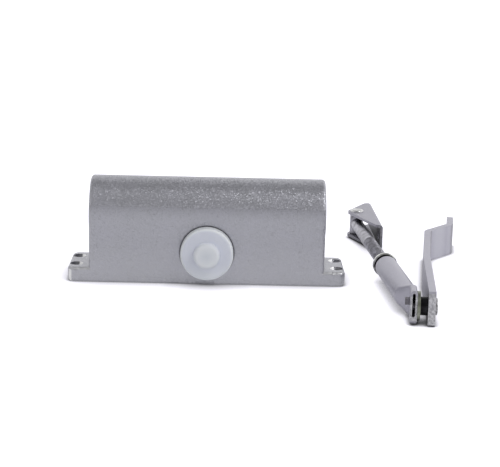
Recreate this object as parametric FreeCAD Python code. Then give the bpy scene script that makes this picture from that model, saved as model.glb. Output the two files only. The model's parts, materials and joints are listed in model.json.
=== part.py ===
import FreeCAD, Part
import math
import os

# Overhead door closer: a rack-and-pinion closer body that stands on its mounting face, and its
# folded arm set lying beside it. Units are millimetres, +Z is up, +X runs along the closer body.
# The origin is the centre of the closer body's mounting face.

V = FreeCAD.Vector
X = V(1, 0, 0)
Y = V(0, 1, 0)
Z = V(0, 0, 1)

# ---- clearances ----
RUN = 0.05          # radial running fit between a shaft and its hole
SLIDE = 0.1         # gap between faces that move past each other
TIP_GAP = 0.3       # root clearance of the gear teeth

# ---- shared workmanship ----
OVERCUT = 1.0       # how far a cutter runs past the face that it opens
EDGE_BREAK = 0.4    # chamfer on turned edges

# ---- closer housing ----
BLOCK_LENGTH = 144.9
DEPTH = 39.0
HEIGHT = 63.0
SIDE_HEIGHT = 48.0          # the flat sides stop here and the arched top begins
FOOT_THICKNESS = 9.0
EDGE_ROUND = 2.0
FOOT_CORNER = 4.4
FOOT_TOE = 3.2              # rounding under the end of each foot
FOOT_HOLE_SPAN = 161.6      # screw holes, centre to centre along X
FOOT_HOLE_ROWS = 19.0       # screw holes, centre to centre along Y
FOOT_MARGIN = 4.8           # screw hole centre to the end of the foot
FOOT_HOLE_RADIUS = 2.9
FOOT_SINK_RADIUS = 4.0      # countersink, at the top of the foot
FOOT_SINK_DEPTH = 1.5

# ---- cylinder bore, end plugs ----
BORE_HEIGHT = 40.0
BORE_RADIUS = 15.0
PLUG_RADIUS = 16.0
PLUG_LENGTH = 10.45
PLUG_PROUD = 0.35
PLUG_SOCKET_FLATS = 10.0
PLUG_SOCKET_DEPTH = 5.0
PLUG_CORD_RADIUS = 1.1

# ---- pinion, rack ----
PINION_HEIGHT = 20.0
MODULE = 1.25
TEETH = 12
PRESSURE_ANGLE = math.radians(20.0)
BACKLASH = 0.1
GEAR_WIDTH = 19.6
JOURNAL_RADIUS = 7.0
SPINDLE_BORE_RADIUS = 9.6
SPINDLE_SQUARE = 9.0
SQUARE_LENGTH = 7.0
SPINDLE_SCREW_RADIUS = 2.5
SPINDLE_SCREW_DEPTH = 12.0
OPENING_ANGLE = 170.0       # full swing of the spindle, degrees

# ---- bearings, seals and gland nuts round the spindle ----
BEARING_LENGTH = 5.0
SEAL_LENGTH = 1.9
SEAL_LIP = 0.7
SEAL_POCKET = 1.0
GLAND_THREAD = 2.5
GLAND_FLANGE_RADIUS = 12.4
GLAND_FLANGE = 2.4
GLAND_PIN_HOLE_RADIUS = 1.1

# ---- piston ----
PISTON_HEAD = 8.0
PISTON_LONG_HEAD = 22.5
CHECK_HOLE_RADIUS = 3.5
CHECK_PORT_RADIUS = 1.5
CHECK_BALL_RADIUS = 2.4
CHECK_SEAT_LENGTH = 4.0
CHECK_ROOM = 1.0            # space behind the check ball
PISTON_RING_WIDTH = 2.0
PISTON_RING_DEPTH = 1.4
SPRING_PILOT_RADIUS = 8.0
SPRING_PILOT_LENGTH = 5.0

# ---- return spring ----
SPRING_MEAN_RADIUS = 10.6
SPRING_WIRE_RADIUS = 1.9
SPRING_TURNS = 4.0
SPRING_SEAT = 2.0

# ---- speed regulating screws ----
VALVE_HEIGHT = 19.5
VALVE_SPREAD = 18.0
VALVE_RADIUS = 3.0
VALVE_LENGTH = 22.0
VALVE_TIP = 4.0
VALVE_PROUD = 0.35
VALVE_SLOT = 1.0
VALVE_SLOT_DEPTH = 2.0
VALVE_SHOULDER = 0.2
VALVE_CORD_RADIUS = 0.7
PORT_RADIUS = 1.2
PORT_REACH = 8.0

# ---- spindle cap ----
CAP_RADIUS = 16.2
CAP_HEIGHT = 7.0
CAP_WALL = 1.4
CAP_BOSS_RADIUS = 8.1
CAP_BOSS_HEIGHT = 4.4
CAP_BOSS_WALL = 0.9
CAP_GRIP_WALL = 1.2

# ---- arm set: shared ----
ARM_WIDTH = 20.4
ARM_SET_ASIDE = 43.3        # end of the closer's foot to the elbow pin, along X
ARM_SET_FORWARD = 74.2      # front side of the closer to the elbow pin, along Y
ARM_LEAN = 4.9              # plan angle of the main arm at the elbow, degrees clockwise from +Y
FOREARM_LEAN = 4.4          # plan angle of the forearm, degrees anticlockwise from +Y
SHOE_LEAN = 1.25            # plan angle of the shoe's mounting wall, degrees anticlockwise from +Y

# ---- main arm ----
ARM_THICKNESS = 4.2
ARM_LENGTH = 180.0          # elbow pin to spindle hole, along the bar
ARM_NEAR = 7.0              # elbow pin to the near end
ARM_FAR = 12.2              # spindle hole to the far end
ARM_NEAR_CORNER = 1.5
ARM_FAR_CORNER = 3.0
ARM_BOW = 2.8               # shallow bend of the bar, degrees clockwise in plan
ARM_BOW_AT = 75.0           # elbow pin to the shallow bend
CRANK_FLAT = 24.5           # straight part at the far end
CRANK_ANGLE = 32.6
CRANK_OFFSET = 15.1
BEND_INSIDE = 8.0

# ---- elbow joint ----
ELBOW_SHANK_RADIUS = 3.5
ELBOW_HEAD_RADIUS = 4.9
ELBOW_HEAD = 1.2
ELBOW_BUSH_RADIUS = 5.3
ELBOW_BUSH = 4.3
ELBOW_WASHER_RADIUS = 8.4
ELBOW_WASHER = 1.75
ELBOW_NECK_RADIUS = 3.0
ELBOW_KEY = 3.6             # square tail of the pin
ELBOW_KEY_RISE = 2.6        # the tail stands above the pin's axis, so the pin cannot turn in the tube
ELBOW_PROUD = 2.7

# ---- forearm tube ----
TUBE_RADIUS = 7.0
TUBE_WALL = 1.2
FLAT_THICKNESS = 4.1
FLAT_LENGTH = 9.0           # elbow pin to the end of the flattened part
FLAT_CORNER = 4.5
FLAT_SEAM = 4.9             # closed fold under the open slot
TAPER_END = 20.5            # elbow pin to the start of the round tube
TUBE_MOUTH = 86.0           # elbow pin to the open end of the tube
MOUTH_ROUND = 0.9
INSERT_LENGTH = 12.0
LOCK_GAP = 1.4
LOCK_LENGTH = 5.6
LOCK_RADIUS = 7.6
LOCK_FACE_RADIUS = 6.1      # the side towards the tube tapers down to this
LOCK_TAPER = 2.8
LOCK_ROUND = 1.2

# ---- threaded rod ----
ROD_RADIUS = 4.2
ROD_THREAD_DEPTH = 0.55
ROD_PITCH = 1.25
ROD_START = 40.0            # elbow pin to the inner end of the rod
FOREARM_LENGTH = 204.6      # elbow pin to shoe pivot
ROD_PLAIN = 57.0            # end of the thread to the shoe pivot
EYE_RADIUS = 4.5

# ---- shoe bracket ----
SHOE_HEIGHT = 17.6
SHOE_SHEET = 1.8
SHOE_WALL_OFFSET = 13.4     # pivot to the outer face of the mounting wall
SHOE_FRONT = -42.0
SHOE_REAR = 27.0
SHOE_NOSE_RADIUS = 6.0
SHOE_FRONT_CORNER = 8.9
SHOE_REAR_CORNER = 8.5
SHOE_CORNER = 3.0
SHOE_BEND = 2.5
SHOE_HOLE_FRONT = -33.0
SHOE_HOLE_REAR = 15.0
SHOE_HOLE_RADIUS = 2.75
SHOE_SLOT_LENGTH = 8.5
RIVET_RADIUS = 2.4
RIVET_HEAD_RADIUS = 4.7
RIVET_HEAD = 1.2

# ---- derived ----
HALF_DEPTH = DEPTH / 2
HALF_BLOCK = BLOCK_LENGTH / 2
FEET_LENGTH = FOOT_HOLE_SPAN + 2 * FOOT_MARGIN
PITCH_RADIUS = MODULE * TEETH / 2
RACK_PITCH = math.pi * MODULE
RACK_LINE = PINION_HEIGHT + PITCH_RADIUS
TRAVEL = PITCH_RADIUS * math.radians(OPENING_ANGLE)
BORE_END = HALF_BLOCK - PLUG_LENGTH
RACK_CLEAR = PITCH_RADIUS + 1.0
RACK_FROM = -RACK_CLEAR
RACK_TO = TRAVEL + RACK_CLEAR
PISTON_LEFT = RACK_FROM - PISTON_HEAD
PISTON_RIGHT = RACK_TO + PISTON_LONG_HEAD
PISTON_RADIUS = BORE_RADIUS - SLIDE
BEARING_FROM = GEAR_WIDTH / 2 + 2 * SLIDE
SEAL_FROM = BEARING_FROM + BEARING_LENGTH
GLAND_FROM = HALF_DEPTH - GLAND_THREAD
SQUARE_FROM = HALF_DEPTH + GLAND_FLANGE + SLIDE
SPINDLE_END = SQUARE_FROM + SQUARE_LENGTH
ELBOW = V(FEET_LENGTH / 2 + ARM_SET_ASIDE, -HALF_DEPTH - ARM_SET_FORWARD, ARM_WIDTH / 2)
# The flattened end of the tube keeps the girth of the round part, measured in mid-wall.
FLAT_HEIGHT = math.pi * (TUBE_RADIUS - FLAT_THICKNESS / 2) + FLAT_THICKNESS
SLOT_LOW = FLAT_SEAM - FLAT_HEIGHT / 2
SLOT_HIGH = FLAT_HEIGHT / 2 - TUBE_WALL


def cylinder(radius, start, end, base, axis):
    """Cylinder along axis, from start to end measured from base."""
    return Part.makeCylinder(radius, end - start, base + axis * start, axis)


def ring(outer, inner, start, end, base, axis):
    return cylinder(outer, start, end, base, axis).cut(cylinder(inner, start, end, base, axis))


def box(x0, x1, y0, y1, z0, z1):
    return Part.makeBox(x1 - x0, y1 - y0, z1 - z0, V(x0, y0, z0))


def prism(points, direction):
    """Straight prism on a closed polygon."""
    return Part.Face(Part.makePolygon(points + [points[0]])).extrude(direction)


def hexagon(flats, depth, base, axis, up):
    side = axis.cross(up)
    corner = flats / 2 / math.cos(math.pi / 6)
    points = []
    for k in range(6):
        angle = math.radians(60 * k)
        points.append(base + up * (corner * math.cos(angle)) + side * (corner * math.sin(angle)))
    return prism(points, axis * depth)


def cut_each(shape, tools):
    """Cuts tools that may overlap one another, one after the other."""
    for tool in tools:
        shape = shape.cut(tool)
    return shape


def edges_where(shape, test):
    return [e for e in shape.Edges if test(e)]


def spans(edge, axis_index, length):
    """True for an edge whose box has this length along one axis."""
    b = edge.BoundBox
    return abs((b.XLength, b.YLength, b.ZLength)[axis_index] - length) < 1e-3


def upright(edge):
    b = edge.BoundBox
    return b.XLength < 1e-3 and b.YLength < 1e-3


def save(name, shape):
    shape.exportStep("parts/" + name + ".step")


def place(shape, lean_clockwise, origin):
    """Turns a shape built on local axes (X to the right, Y along the arm) into its place."""
    placed = shape.copy()
    placed.rotate(V(0, 0, 0), Z, -lean_clockwise)
    placed.translate(origin)
    return placed


# ================= closer housing =================

def make_block():
    """Flat-sided body with an arched top."""
    left = -HALF_BLOCK
    a = V(left, -HALF_DEPTH, 0)
    b = V(left, -HALF_DEPTH, SIDE_HEIGHT)
    top = V(left, 0, HEIGHT)
    c = V(left, HALF_DEPTH, SIDE_HEIGHT)
    d = V(left, HALF_DEPTH, 0)
    edges = [
        Part.makeLine(a, b),
        Part.Arc(b, top, c).toShape(),
        Part.makeLine(c, d),
        Part.makeLine(d, a),
    ]
    block = Part.Face(Part.Wire(edges)).extrude(X * BLOCK_LENGTH)
    ends = edges_where(block, lambda e: spans(e, 0, 0) and e.BoundBox.ZLength > EDGE_ROUND)
    return block.makeFillet(EDGE_ROUND, ends)


def make_feet():
    half = FEET_LENGTH / 2
    plate = box(-half, half, -HALF_DEPTH, HALF_DEPTH, 0, FOOT_THICKNESS)
    plate = plate.makeFillet(FOOT_CORNER, edges_where(plate, upright))
    rim = edges_where(plate, lambda e: e.BoundBox.ZMin > FOOT_THICKNESS - 1e-3)
    return plate.makeFillet(EDGE_ROUND, rim).common(rolled_under(half))


def rolled_under(half):
    """Room for the feet, with both lower ends rounded."""
    side = HALF_DEPTH + OVERCUT
    room = box(-half, half, -side, side, 0, FOOT_THICKNESS + OVERCUT)
    toes = edges_where(room, lambda e: spans(e, 1, 2 * side) and e.BoundBox.ZMax < 1e-3)
    return room.makeFillet(FOOT_TOE, toes)


def foot_hole_centres():
    centres = []
    for sx in (-1, 1):
        for sy in (-1, 1):
            centres.append(V(sx * FOOT_HOLE_SPAN / 2, sy * FOOT_HOLE_ROWS / 2, 0))
    return centres


def foot_countersink(centre):
    """Cone for the head of a mounting screw, in the top of a foot."""
    slope = (FOOT_SINK_RADIUS - FOOT_HOLE_RADIUS) / FOOT_SINK_DEPTH
    height = FOOT_SINK_DEPTH + OVERCUT
    bottom = centre + Z * (FOOT_THICKNESS - FOOT_SINK_DEPTH)
    return Part.makeCone(FOOT_HOLE_RADIUS, FOOT_HOLE_RADIUS + slope * height, height, bottom, Z)


def make_housing():
    housing = make_block().fuse(make_feet()).removeSplitter()
    bore_base = V(0, 0, BORE_HEIGHT)
    spindle_base = V(0, 0, PINION_HEIGHT)
    cuts = [cylinder(BORE_RADIUS, -BORE_END, BORE_END, bore_base, X)]
    for side in (-1, 1):
        cuts.append(cylinder(PLUG_RADIUS, BORE_END, HALF_BLOCK + OVERCUT, bore_base, X * side))
    through = HALF_DEPTH + OVERCUT
    cuts.append(cylinder(SPINDLE_BORE_RADIUS, -through, through, spindle_base, Y))
    for centre in foot_hole_centres():
        above = FOOT_THICKNESS + OVERCUT
        cuts.append(cylinder(FOOT_HOLE_RADIUS, -OVERCUT, above, centre, Z))
        cuts.append(foot_countersink(centre))
    valve_end = HALF_BLOCK + VALVE_PROUD - VALVE_LENGTH - VALVE_TIP
    for side in (-1, 1):
        valve_base = V(0, side * VALVE_SPREAD / 2, VALVE_HEIGHT)
        cuts.append(cylinder(VALVE_RADIUS + RUN, valve_end, HALF_BLOCK + OVERCUT, valve_base, X))
        port_end = valve_end - PORT_REACH
        cuts.append(cylinder(PORT_RADIUS, port_end, valve_end, valve_base, X))
        for along in (port_end + 2 * PORT_RADIUS, valve_end + 2 * PORT_RADIUS):
            port_base = V(along, side * VALVE_SPREAD / 2, VALVE_HEIGHT)
            cuts.append(cylinder(PORT_RADIUS, 0, BORE_HEIGHT - VALVE_HEIGHT, port_base, Z))
    return cut_each(housing, cuts)


# ================= end plugs, spindle bearings =================

def make_plug(side):
    """Screwed end plug with a hexagon socket and a groove for its seal ring."""
    base = V(0, 0, BORE_HEIGHT)
    axis = X * side
    outer = HALF_BLOCK + PLUG_PROUD
    plug = cylinder(PLUG_RADIUS, BORE_END, outer, base, axis)
    plug = plug.makeChamfer(PLUG_PROUD / 2, outer_rim(plug, base, axis, outer))
    groove_mid = BORE_END + PLUG_LENGTH / 2
    reach = PLUG_CORD_RADIUS + SLIDE
    groove = ring(PLUG_RADIUS + OVERCUT, PLUG_RADIUS - 2 * PLUG_CORD_RADIUS, groove_mid - reach,
                  groove_mid + reach, base, axis)
    socket_base = base + axis * (outer - PLUG_SOCKET_DEPTH)
    socket = hexagon(PLUG_SOCKET_FLATS, PLUG_SOCKET_DEPTH + OVERCUT, socket_base, axis, Z)
    return plug.cut(groove).cut(socket)


def outer_rim(shape, base, axis, distance):
    """Edges of a shape that lie in the plane this far along axis from base."""
    found = []
    for e in shape.Edges:
        middle = e.valueAt((e.FirstParameter + e.LastParameter) / 2)
        start = e.valueAt(e.FirstParameter)
        if abs((middle - base).dot(axis) - distance) < 1e-3:
            if abs((start - base).dot(axis) - distance) < 1e-3:
                found.append(e)
    return found


def make_plug_seal(side):
    centre = V(side * (BORE_END + PLUG_LENGTH / 2), 0, BORE_HEIGHT)
    return Part.makeTorus(PLUG_RADIUS - PLUG_CORD_RADIUS, PLUG_CORD_RADIUS, centre, X)


def make_bearing(side):
    base = V(0, 0, PINION_HEIGHT)
    return ring(SPINDLE_BORE_RADIUS, JOURNAL_RADIUS + RUN, BEARING_FROM, SEAL_FROM, base, Y * side)


def make_seal(side):
    """Lip seal: a flat washer whose inner lip is turned towards the oil."""
    base = V(0, 0, PINION_HEIGHT)
    axis = Y * side
    body = ring(SPINDLE_BORE_RADIUS, JOURNAL_RADIUS + RUN, SEAL_FROM, SEAL_FROM + SEAL_LENGTH, base,
                axis)
    lip = JOURNAL_RADIUS + SEAL_LIP
    pocket = ring(lip + SEAL_POCKET, lip, SEAL_FROM, SEAL_FROM + SEAL_LENGTH / 2, base, axis)
    return body.cut(pocket)


def make_gland(side):
    """Flanged threaded nut that keeps bearing and seal in, with two holes for a pin spanner."""
    base = V(0, 0, PINION_HEIGHT)
    axis = Y * side
    flange_end = HALF_DEPTH + GLAND_FLANGE
    thread = cylinder(SPINDLE_BORE_RADIUS, GLAND_FROM, HALF_DEPTH, base, axis)
    flange = cylinder(GLAND_FLANGE_RADIUS, HALF_DEPTH, flange_end, base, axis)
    flange = flange.makeChamfer(EDGE_BREAK, outer_rim(flange, base, axis, flange_end))
    gland = thread.fuse(flange).removeSplitter()
    gland = gland.cut(cylinder(JOURNAL_RADIUS + SLIDE, GLAND_FROM, flange_end, base, axis))
    pin_circle = (JOURNAL_RADIUS + GLAND_FLANGE_RADIUS) / 2
    for way in (-1, 1):
        pin_base = base + X * (way * pin_circle)
        pin = cylinder(GLAND_PIN_HOLE_RADIUS, HALF_DEPTH, flange_end, pin_base, axis)
        gland = gland.cut(pin)
    return gland


# ================= pinion and piston =================

def rack_tooth(centre, width_at_line, tip_reach, root_reach, depth, sign):
    """Trapezoidal rack tooth on the pitch line; sign -1 points it down, +1 up."""
    half = width_at_line / 2
    slope = math.tan(PRESSURE_ANGLE)
    tip = half - tip_reach * slope
    root = half + root_reach * slope
    y0 = -depth / 2
    points = [
        V(centre - root, y0, RACK_LINE - sign * root_reach),
        V(centre + root, y0, RACK_LINE - sign * root_reach),
        V(centre + tip, y0, RACK_LINE + sign * tip_reach),
        V(centre - tip, y0, RACK_LINE + sign * tip_reach),
    ]
    return prism(points, Y * depth)


def make_pinion():
    """Spindle with the pinion teeth generated by rolling the rack tooth round the gear blank."""
    base = V(0, 0, PINION_HEIGHT)
    tip_radius = PITCH_RADIUS + MODULE
    half_gear = GEAR_WIDTH / 2
    blank = cylinder(tip_radius, -half_gear, half_gear, base, Y)
    width = RACK_PITCH / 2 + BACKLASH
    tooth = rack_tooth(0, width, MODULE + TIP_GAP, MODULE * 1.5, GEAR_WIDTH + 2 * OVERCUT, -1)
    rolled = []
    steps = 9
    widest = math.radians(36.0)
    for k in range(-steps, steps + 1):
        roll = widest * k / steps
        position = tooth.copy()
        position.translate(X * (PITCH_RADIUS * roll))
        position.rotate(base, Y, -math.degrees(roll))
        rolled.append(position)
    gap = rolled[0].fuse(rolled[1:])
    gaps = []
    for n in range(TEETH):
        turned = gap.copy()
        turned.rotate(base, Y, (n + 0.5) * 360.0 / TEETH)
        gaps.append(turned)
    gear = cut_each(blank, gaps)
    spindle = gear
    for side in (-1, 1):
        axis = Y * side
        journal = cylinder(JOURNAL_RADIUS, half_gear, SPINDLE_END, base, axis)
        half = SPINDLE_SQUARE / 2
        keep = box(-half, half, -SPINDLE_END, SPINDLE_END, PINION_HEIGHT - half, PINION_HEIGHT + half)
        shell = cylinder(JOURNAL_RADIUS + OVERCUT, SQUARE_FROM, SPINDLE_END, base, axis).cut(keep)
        screw = cylinder(SPINDLE_SCREW_RADIUS, SPINDLE_END - SPINDLE_SCREW_DEPTH, SPINDLE_END, base,
                         axis)
        spindle = spindle.fuse(journal.cut(shell).cut(screw))
    return spindle.removeSplitter()


def make_piston():
    base = V(0, 0, BORE_HEIGHT)
    piston = cylinder(PISTON_RADIUS, PISTON_LEFT, PISTON_RIGHT, base, X)
    rims = outer_rim(piston, base, X, PISTON_LEFT) + outer_rim(piston, base, X, PISTON_RIGHT)
    piston = piston.makeChamfer(2 * EDGE_BREAK, rims)
    pilot = cylinder(SPRING_PILOT_RADIUS, PISTON_LEFT - SPRING_PILOT_LENGTH, PISTON_LEFT, base, X)
    piston = piston.fuse(pilot).removeSplitter()
    tips = RACK_LINE - MODULE
    piston = piston.cut(box(RACK_FROM, RACK_TO, -DEPTH, DEPTH, 0, tips))
    # The rack is no wider than the pinion, so it passes between the two bearings.
    relief = PINION_HEIGHT + SPINDLE_BORE_RADIUS + SLIDE
    for side in (-1, 1):
        inner, outer = sorted((side * GEAR_WIDTH / 2, side * DEPTH))
        piston = piston.cut(box(RACK_FROM, RACK_TO, inner, outer, 0, relief))
    gap_width = RACK_PITCH / 2 + BACKLASH
    gaps = []
    first = math.ceil((RACK_FROM + RACK_PITCH / 2) / RACK_PITCH)
    last = math.floor((RACK_TO - RACK_PITCH / 2) / RACK_PITCH)
    for k in range(first, last + 1):
        gaps.append(rack_tooth(k * RACK_PITCH, gap_width, MODULE + TIP_GAP, MODULE + OVERCUT, DEPTH, 1))
    piston = cut_each(piston, gaps)
    hole_end = PISTON_RIGHT - CHECK_SEAT_LENGTH - 2 * CHECK_BALL_RADIUS - CHECK_ROOM
    piston = piston.cut(cylinder(CHECK_HOLE_RADIUS, hole_end, PISTON_RIGHT + OVERCUT, base, X))
    # A slanting drilling joins the check valve to the space round the rack.
    drill_start = base + X * (hole_end + CHECK_ROOM)
    drill_axis = V(-1, 0, -1)
    drill_axis.normalize()
    reach = BORE_RADIUS * 2
    piston = piston.cut(Part.makeCylinder(CHECK_PORT_RADIUS, reach, drill_start, drill_axis))
    for middle in piston_ring_places():
        half = PISTON_RING_WIDTH / 2 + SLIDE / 2
        inner = PISTON_RADIUS - PISTON_RING_DEPTH
        piston = piston.cut(ring(BORE_RADIUS + OVERCUT, inner, middle - half, middle + half, base, X))
    return piston


def piston_ring_places():
    return (PISTON_LEFT + PISTON_HEAD / 2, PISTON_RIGHT - PISTON_HEAD / 2)


def make_piston_rings():
    base = V(0, 0, BORE_HEIGHT)
    rings = []
    for middle in piston_ring_places():
        half = PISTON_RING_WIDTH / 2
        inner = PISTON_RADIUS - PISTON_RING_DEPTH
        rings.append(ring(BORE_RADIUS - RUN / 2, inner, middle - half, middle + half, base, X))
    return Part.makeCompound(rings)


def check_ball_centre():
    """The ball rests in the mouth of the seat."""
    mouth = CHECK_PORT_RADIUS
    stand = math.sqrt(CHECK_BALL_RADIUS ** 2 - mouth ** 2)
    return V(PISTON_RIGHT - CHECK_SEAT_LENGTH - stand, 0, BORE_HEIGHT)


def make_check_seat():
    base = V(0, 0, BORE_HEIGHT)
    start = PISTON_RIGHT - CHECK_SEAT_LENGTH
    return ring(CHECK_HOLE_RADIUS, CHECK_PORT_RADIUS, start, PISTON_RIGHT, base, X)


def make_spring():
    """Helical compression spring between its seat and the piston."""
    start = -BORE_END + SPRING_SEAT
    length = PISTON_LEFT - start
    rise = length - 2 * SPRING_WIRE_RADIUS
    pitch = rise / SPRING_TURNS
    helix = Part.makeHelix(pitch, rise, SPRING_MEAN_RADIUS)
    wire = Part.Wire(helix.Edges)
    section = Part.makeCircle(SPRING_WIRE_RADIUS, V(SPRING_MEAN_RADIUS, 0, 0), Y)
    coil = wire.makePipeShell([Part.Wire([section])], True, True)
    coil.rotate(V(0, 0, 0), Y, 90)
    coil.translate(V(start + SPRING_WIRE_RADIUS, 0, BORE_HEIGHT))
    return coil


def make_spring_seat():
    base = V(0, 0, BORE_HEIGHT)
    disc = cylinder(BORE_RADIUS - SLIDE, -BORE_END, -BORE_END + SPRING_SEAT, base, X)
    pilot_end = -BORE_END + SPRING_SEAT + SPRING_PILOT_LENGTH
    pilot = cylinder(SPRING_PILOT_RADIUS, -BORE_END, pilot_end, base, X)
    return disc.fuse(pilot).removeSplitter()


# ================= regulating screws =================

def make_valve_screw(side):
    """Slotted screw with a needle tip and a groove for its seal ring."""
    base = V(0, side * VALVE_SPREAD / 2, VALVE_HEIGHT)
    outer = HALF_BLOCK + VALVE_PROUD
    inner = outer - VALVE_LENGTH
    screw = cylinder(VALVE_RADIUS, inner, outer, base, X)
    screw = screw.makeChamfer(EDGE_BREAK, outer_rim(screw, base, X, outer))
    tip = Part.makeCone(VALVE_RADIUS - VALVE_SHOULDER, PORT_RADIUS / 2, VALVE_TIP,
                        base + X * inner, X * -1)
    screw = screw.fuse(tip).removeSplitter()
    middle = (inner + outer) / 2
    reach = VALVE_CORD_RADIUS + RUN
    groove_radius = VALVE_RADIUS + RUN - 2 * VALVE_CORD_RADIUS
    groove = ring(VALVE_RADIUS + OVERCUT, groove_radius, middle - reach, middle + reach, base, X)
    half_slot = VALVE_SLOT / 2
    wide = VALVE_RADIUS * 2
    slot = box(outer - VALVE_SLOT_DEPTH, outer + OVERCUT, base.y - wide, base.y + wide,
               base.z - half_slot, base.z + half_slot)
    return screw.cut(groove).cut(slot)


def make_valve_seal(side):
    middle = HALF_BLOCK + VALVE_PROUD - VALVE_LENGTH / 2
    centre = V(middle, side * VALVE_SPREAD / 2, VALVE_HEIGHT)
    return Part.makeTorus(VALVE_RADIUS + RUN - VALVE_CORD_RADIUS, VALVE_CORD_RADIUS, centre, X)


# ================= spindle cap =================

def make_cap():
    """Push-on plastic cap: a round cover with a hollow boss over the square end of the spindle."""
    base = V(0, 0, PINION_HEIGHT)
    axis = Y * -1
    face = HALF_DEPTH
    front = face + CAP_HEIGHT
    boss_end = front + CAP_BOSS_HEIGHT
    cover = cylinder(CAP_RADIUS, face, front, base, axis)
    cover = cover.makeFillet(EDGE_ROUND, outer_rim(cover, base, axis, front))
    boss = cylinder(CAP_BOSS_RADIUS, face, boss_end, base, axis)
    boss = boss.makeFillet(CAP_BOSS_HEIGHT / 2, outer_rim(boss, base, axis, boss_end))
    outside = cover.fuse(boss).removeSplitter()
    inside_front = front - CAP_WALL
    hollow = ring(CAP_RADIUS - CAP_WALL, GLAND_FLANGE_RADIUS + RUN + CAP_GRIP_WALL, face, inside_front,
                  base, axis)
    grip = cylinder(GLAND_FLANGE_RADIUS + RUN, face, inside_front, base, axis)
    nose = cylinder(CAP_BOSS_RADIUS - CAP_BOSS_WALL, face, boss_end - CAP_BOSS_WALL, base, axis)
    return cut_each(outside, [hollow, grip, nose])


# ================= main arm =================

def upright_at(shape, corners):
    """Upright edges that pass through one of these corners in plan."""
    found = []
    for e in edges_where(shape, upright):
        foot = e.valueAt(e.FirstParameter)
        if min(math.hypot(foot.x - c.x, foot.y - c.y) for c in corners) < 1e-3:
            found.append(e)
    return found


def cross_at(shape, along):
    """Level edges that run across the bar at this distance along the local Y axis."""
    found = []
    for e in shape.Edges:
        b = e.BoundBox
        if abs(b.YMin - along) < 1e-3 and b.YLength < 1e-3 and b.ZLength < 1e-3:
            found.append(e)
    return found


def bowed(aside, along):
    """Plan point past the shallow bend of the main arm, measured as if the bar were straight."""
    turn = math.radians(ARM_BOW)
    beyond = along - ARM_BOW_AT
    x = aside * math.cos(turn) + beyond * math.sin(turn)
    y = ARM_BOW_AT + beyond * math.cos(turn) - aside * math.sin(turn)
    return V(x, y, 0)


def make_main_arm():
    """Flat bar on edge, bowed a little, and cranked near the end that carries the square hole."""
    half = ARM_THICKNESS / 2
    run = CRANK_OFFSET / math.tan(math.radians(CRANK_ANGLE))
    shift = ARM_THICKNESS * math.tan(math.radians(CRANK_ANGLE) / 2)
    near = -ARM_NEAR
    far = ARM_LENGTH + ARM_FAR
    bend_out = far - CRANK_FLAT
    bend_in = bend_out - run
    corner = half * math.tan(math.radians(ARM_BOW) / 2)
    right_bend = bowed(half, bend_in)
    right_flat = bowed(half + CRANK_OFFSET, bend_out)
    left_flat = bowed(-half + CRANK_OFFSET, bend_out + shift)
    left_bend = bowed(-half, bend_in + shift)
    points = [
        V(half, near, 0),
        V(half, ARM_BOW_AT - corner, 0),
        right_bend,
        right_flat,
        bowed(half + CRANK_OFFSET, far),
        bowed(-half + CRANK_OFFSET, far),
        left_flat,
        left_bend,
        V(-half, ARM_BOW_AT + corner, 0),
        V(-half, near, 0),
    ]
    bar = prism(points, Z * ARM_WIDTH)
    bar = bar.makeFillet(BEND_INSIDE, upright_at(bar, (right_bend, left_flat)))
    bar = bar.makeFillet(BEND_INSIDE + ARM_THICKNESS, upright_at(bar, (left_bend, right_flat)))
    bar = bar.makeFillet(ARM_NEAR_CORNER, cross_at(bar, near))
    bar.translate(Z * (-ARM_WIDTH / 2))
    reach = CRANK_OFFSET + ARM_THICKNESS
    bar = bar.cut(cylinder(ELBOW_SHANK_RADIUS + RUN, -reach, reach, V(0, 0, 0), X))
    square = SPINDLE_SQUARE / 2 + RUN
    hole = box(0, reach, ARM_LENGTH - square, ARM_LENGTH + square, -square, square)
    # The corners of the far end are rounded by what is left of a block with round edges.
    high = ARM_WIDTH / 2
    keep = box(0, reach, bend_out, far, -high, high)
    keep = keep.makeFillet(ARM_FAR_CORNER, cross_at(keep, far))
    waste = box(0, reach, bend_out + ARM_FAR_CORNER, far + OVERCUT, -ARM_WIDTH, ARM_WIDTH).cut(keep)
    far_cuts = Part.makeCompound([hole, waste])
    far_cuts.rotate(V(0, ARM_BOW_AT, 0), Z, -ARM_BOW)
    return place(bar.cut(far_cuts), ARM_LEAN, ELBOW)


# ================= elbow joint =================
# Distances along the elbow pin are measured from the middle of the main arm, positive outwards.
ARM_FACE = ARM_THICKNESS / 2
BUSH_FROM = -ARM_FACE - SLIDE - ELBOW_BUSH
WASHER_FROM = BUSH_FROM - ELBOW_WASHER
FLAT_MIDDLE = WASHER_FROM - FLAT_THICKNESS / 2
FLAT_OUTSIDE = FLAT_MIDDLE - FLAT_THICKNESS / 2
FLAT_INSIDE_WALL = WASHER_FROM - TUBE_WALL
FLAT_OUTSIDE_WALL = FLAT_OUTSIDE + TUBE_WALL


def elbow_key(start, end):
    """Square bar for the tail of the elbow pin, between two distances along the pin."""
    half = ELBOW_KEY / 2
    return box(start, end, -half, half, ELBOW_KEY_RISE - half, ELBOW_KEY_RISE + half)


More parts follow.
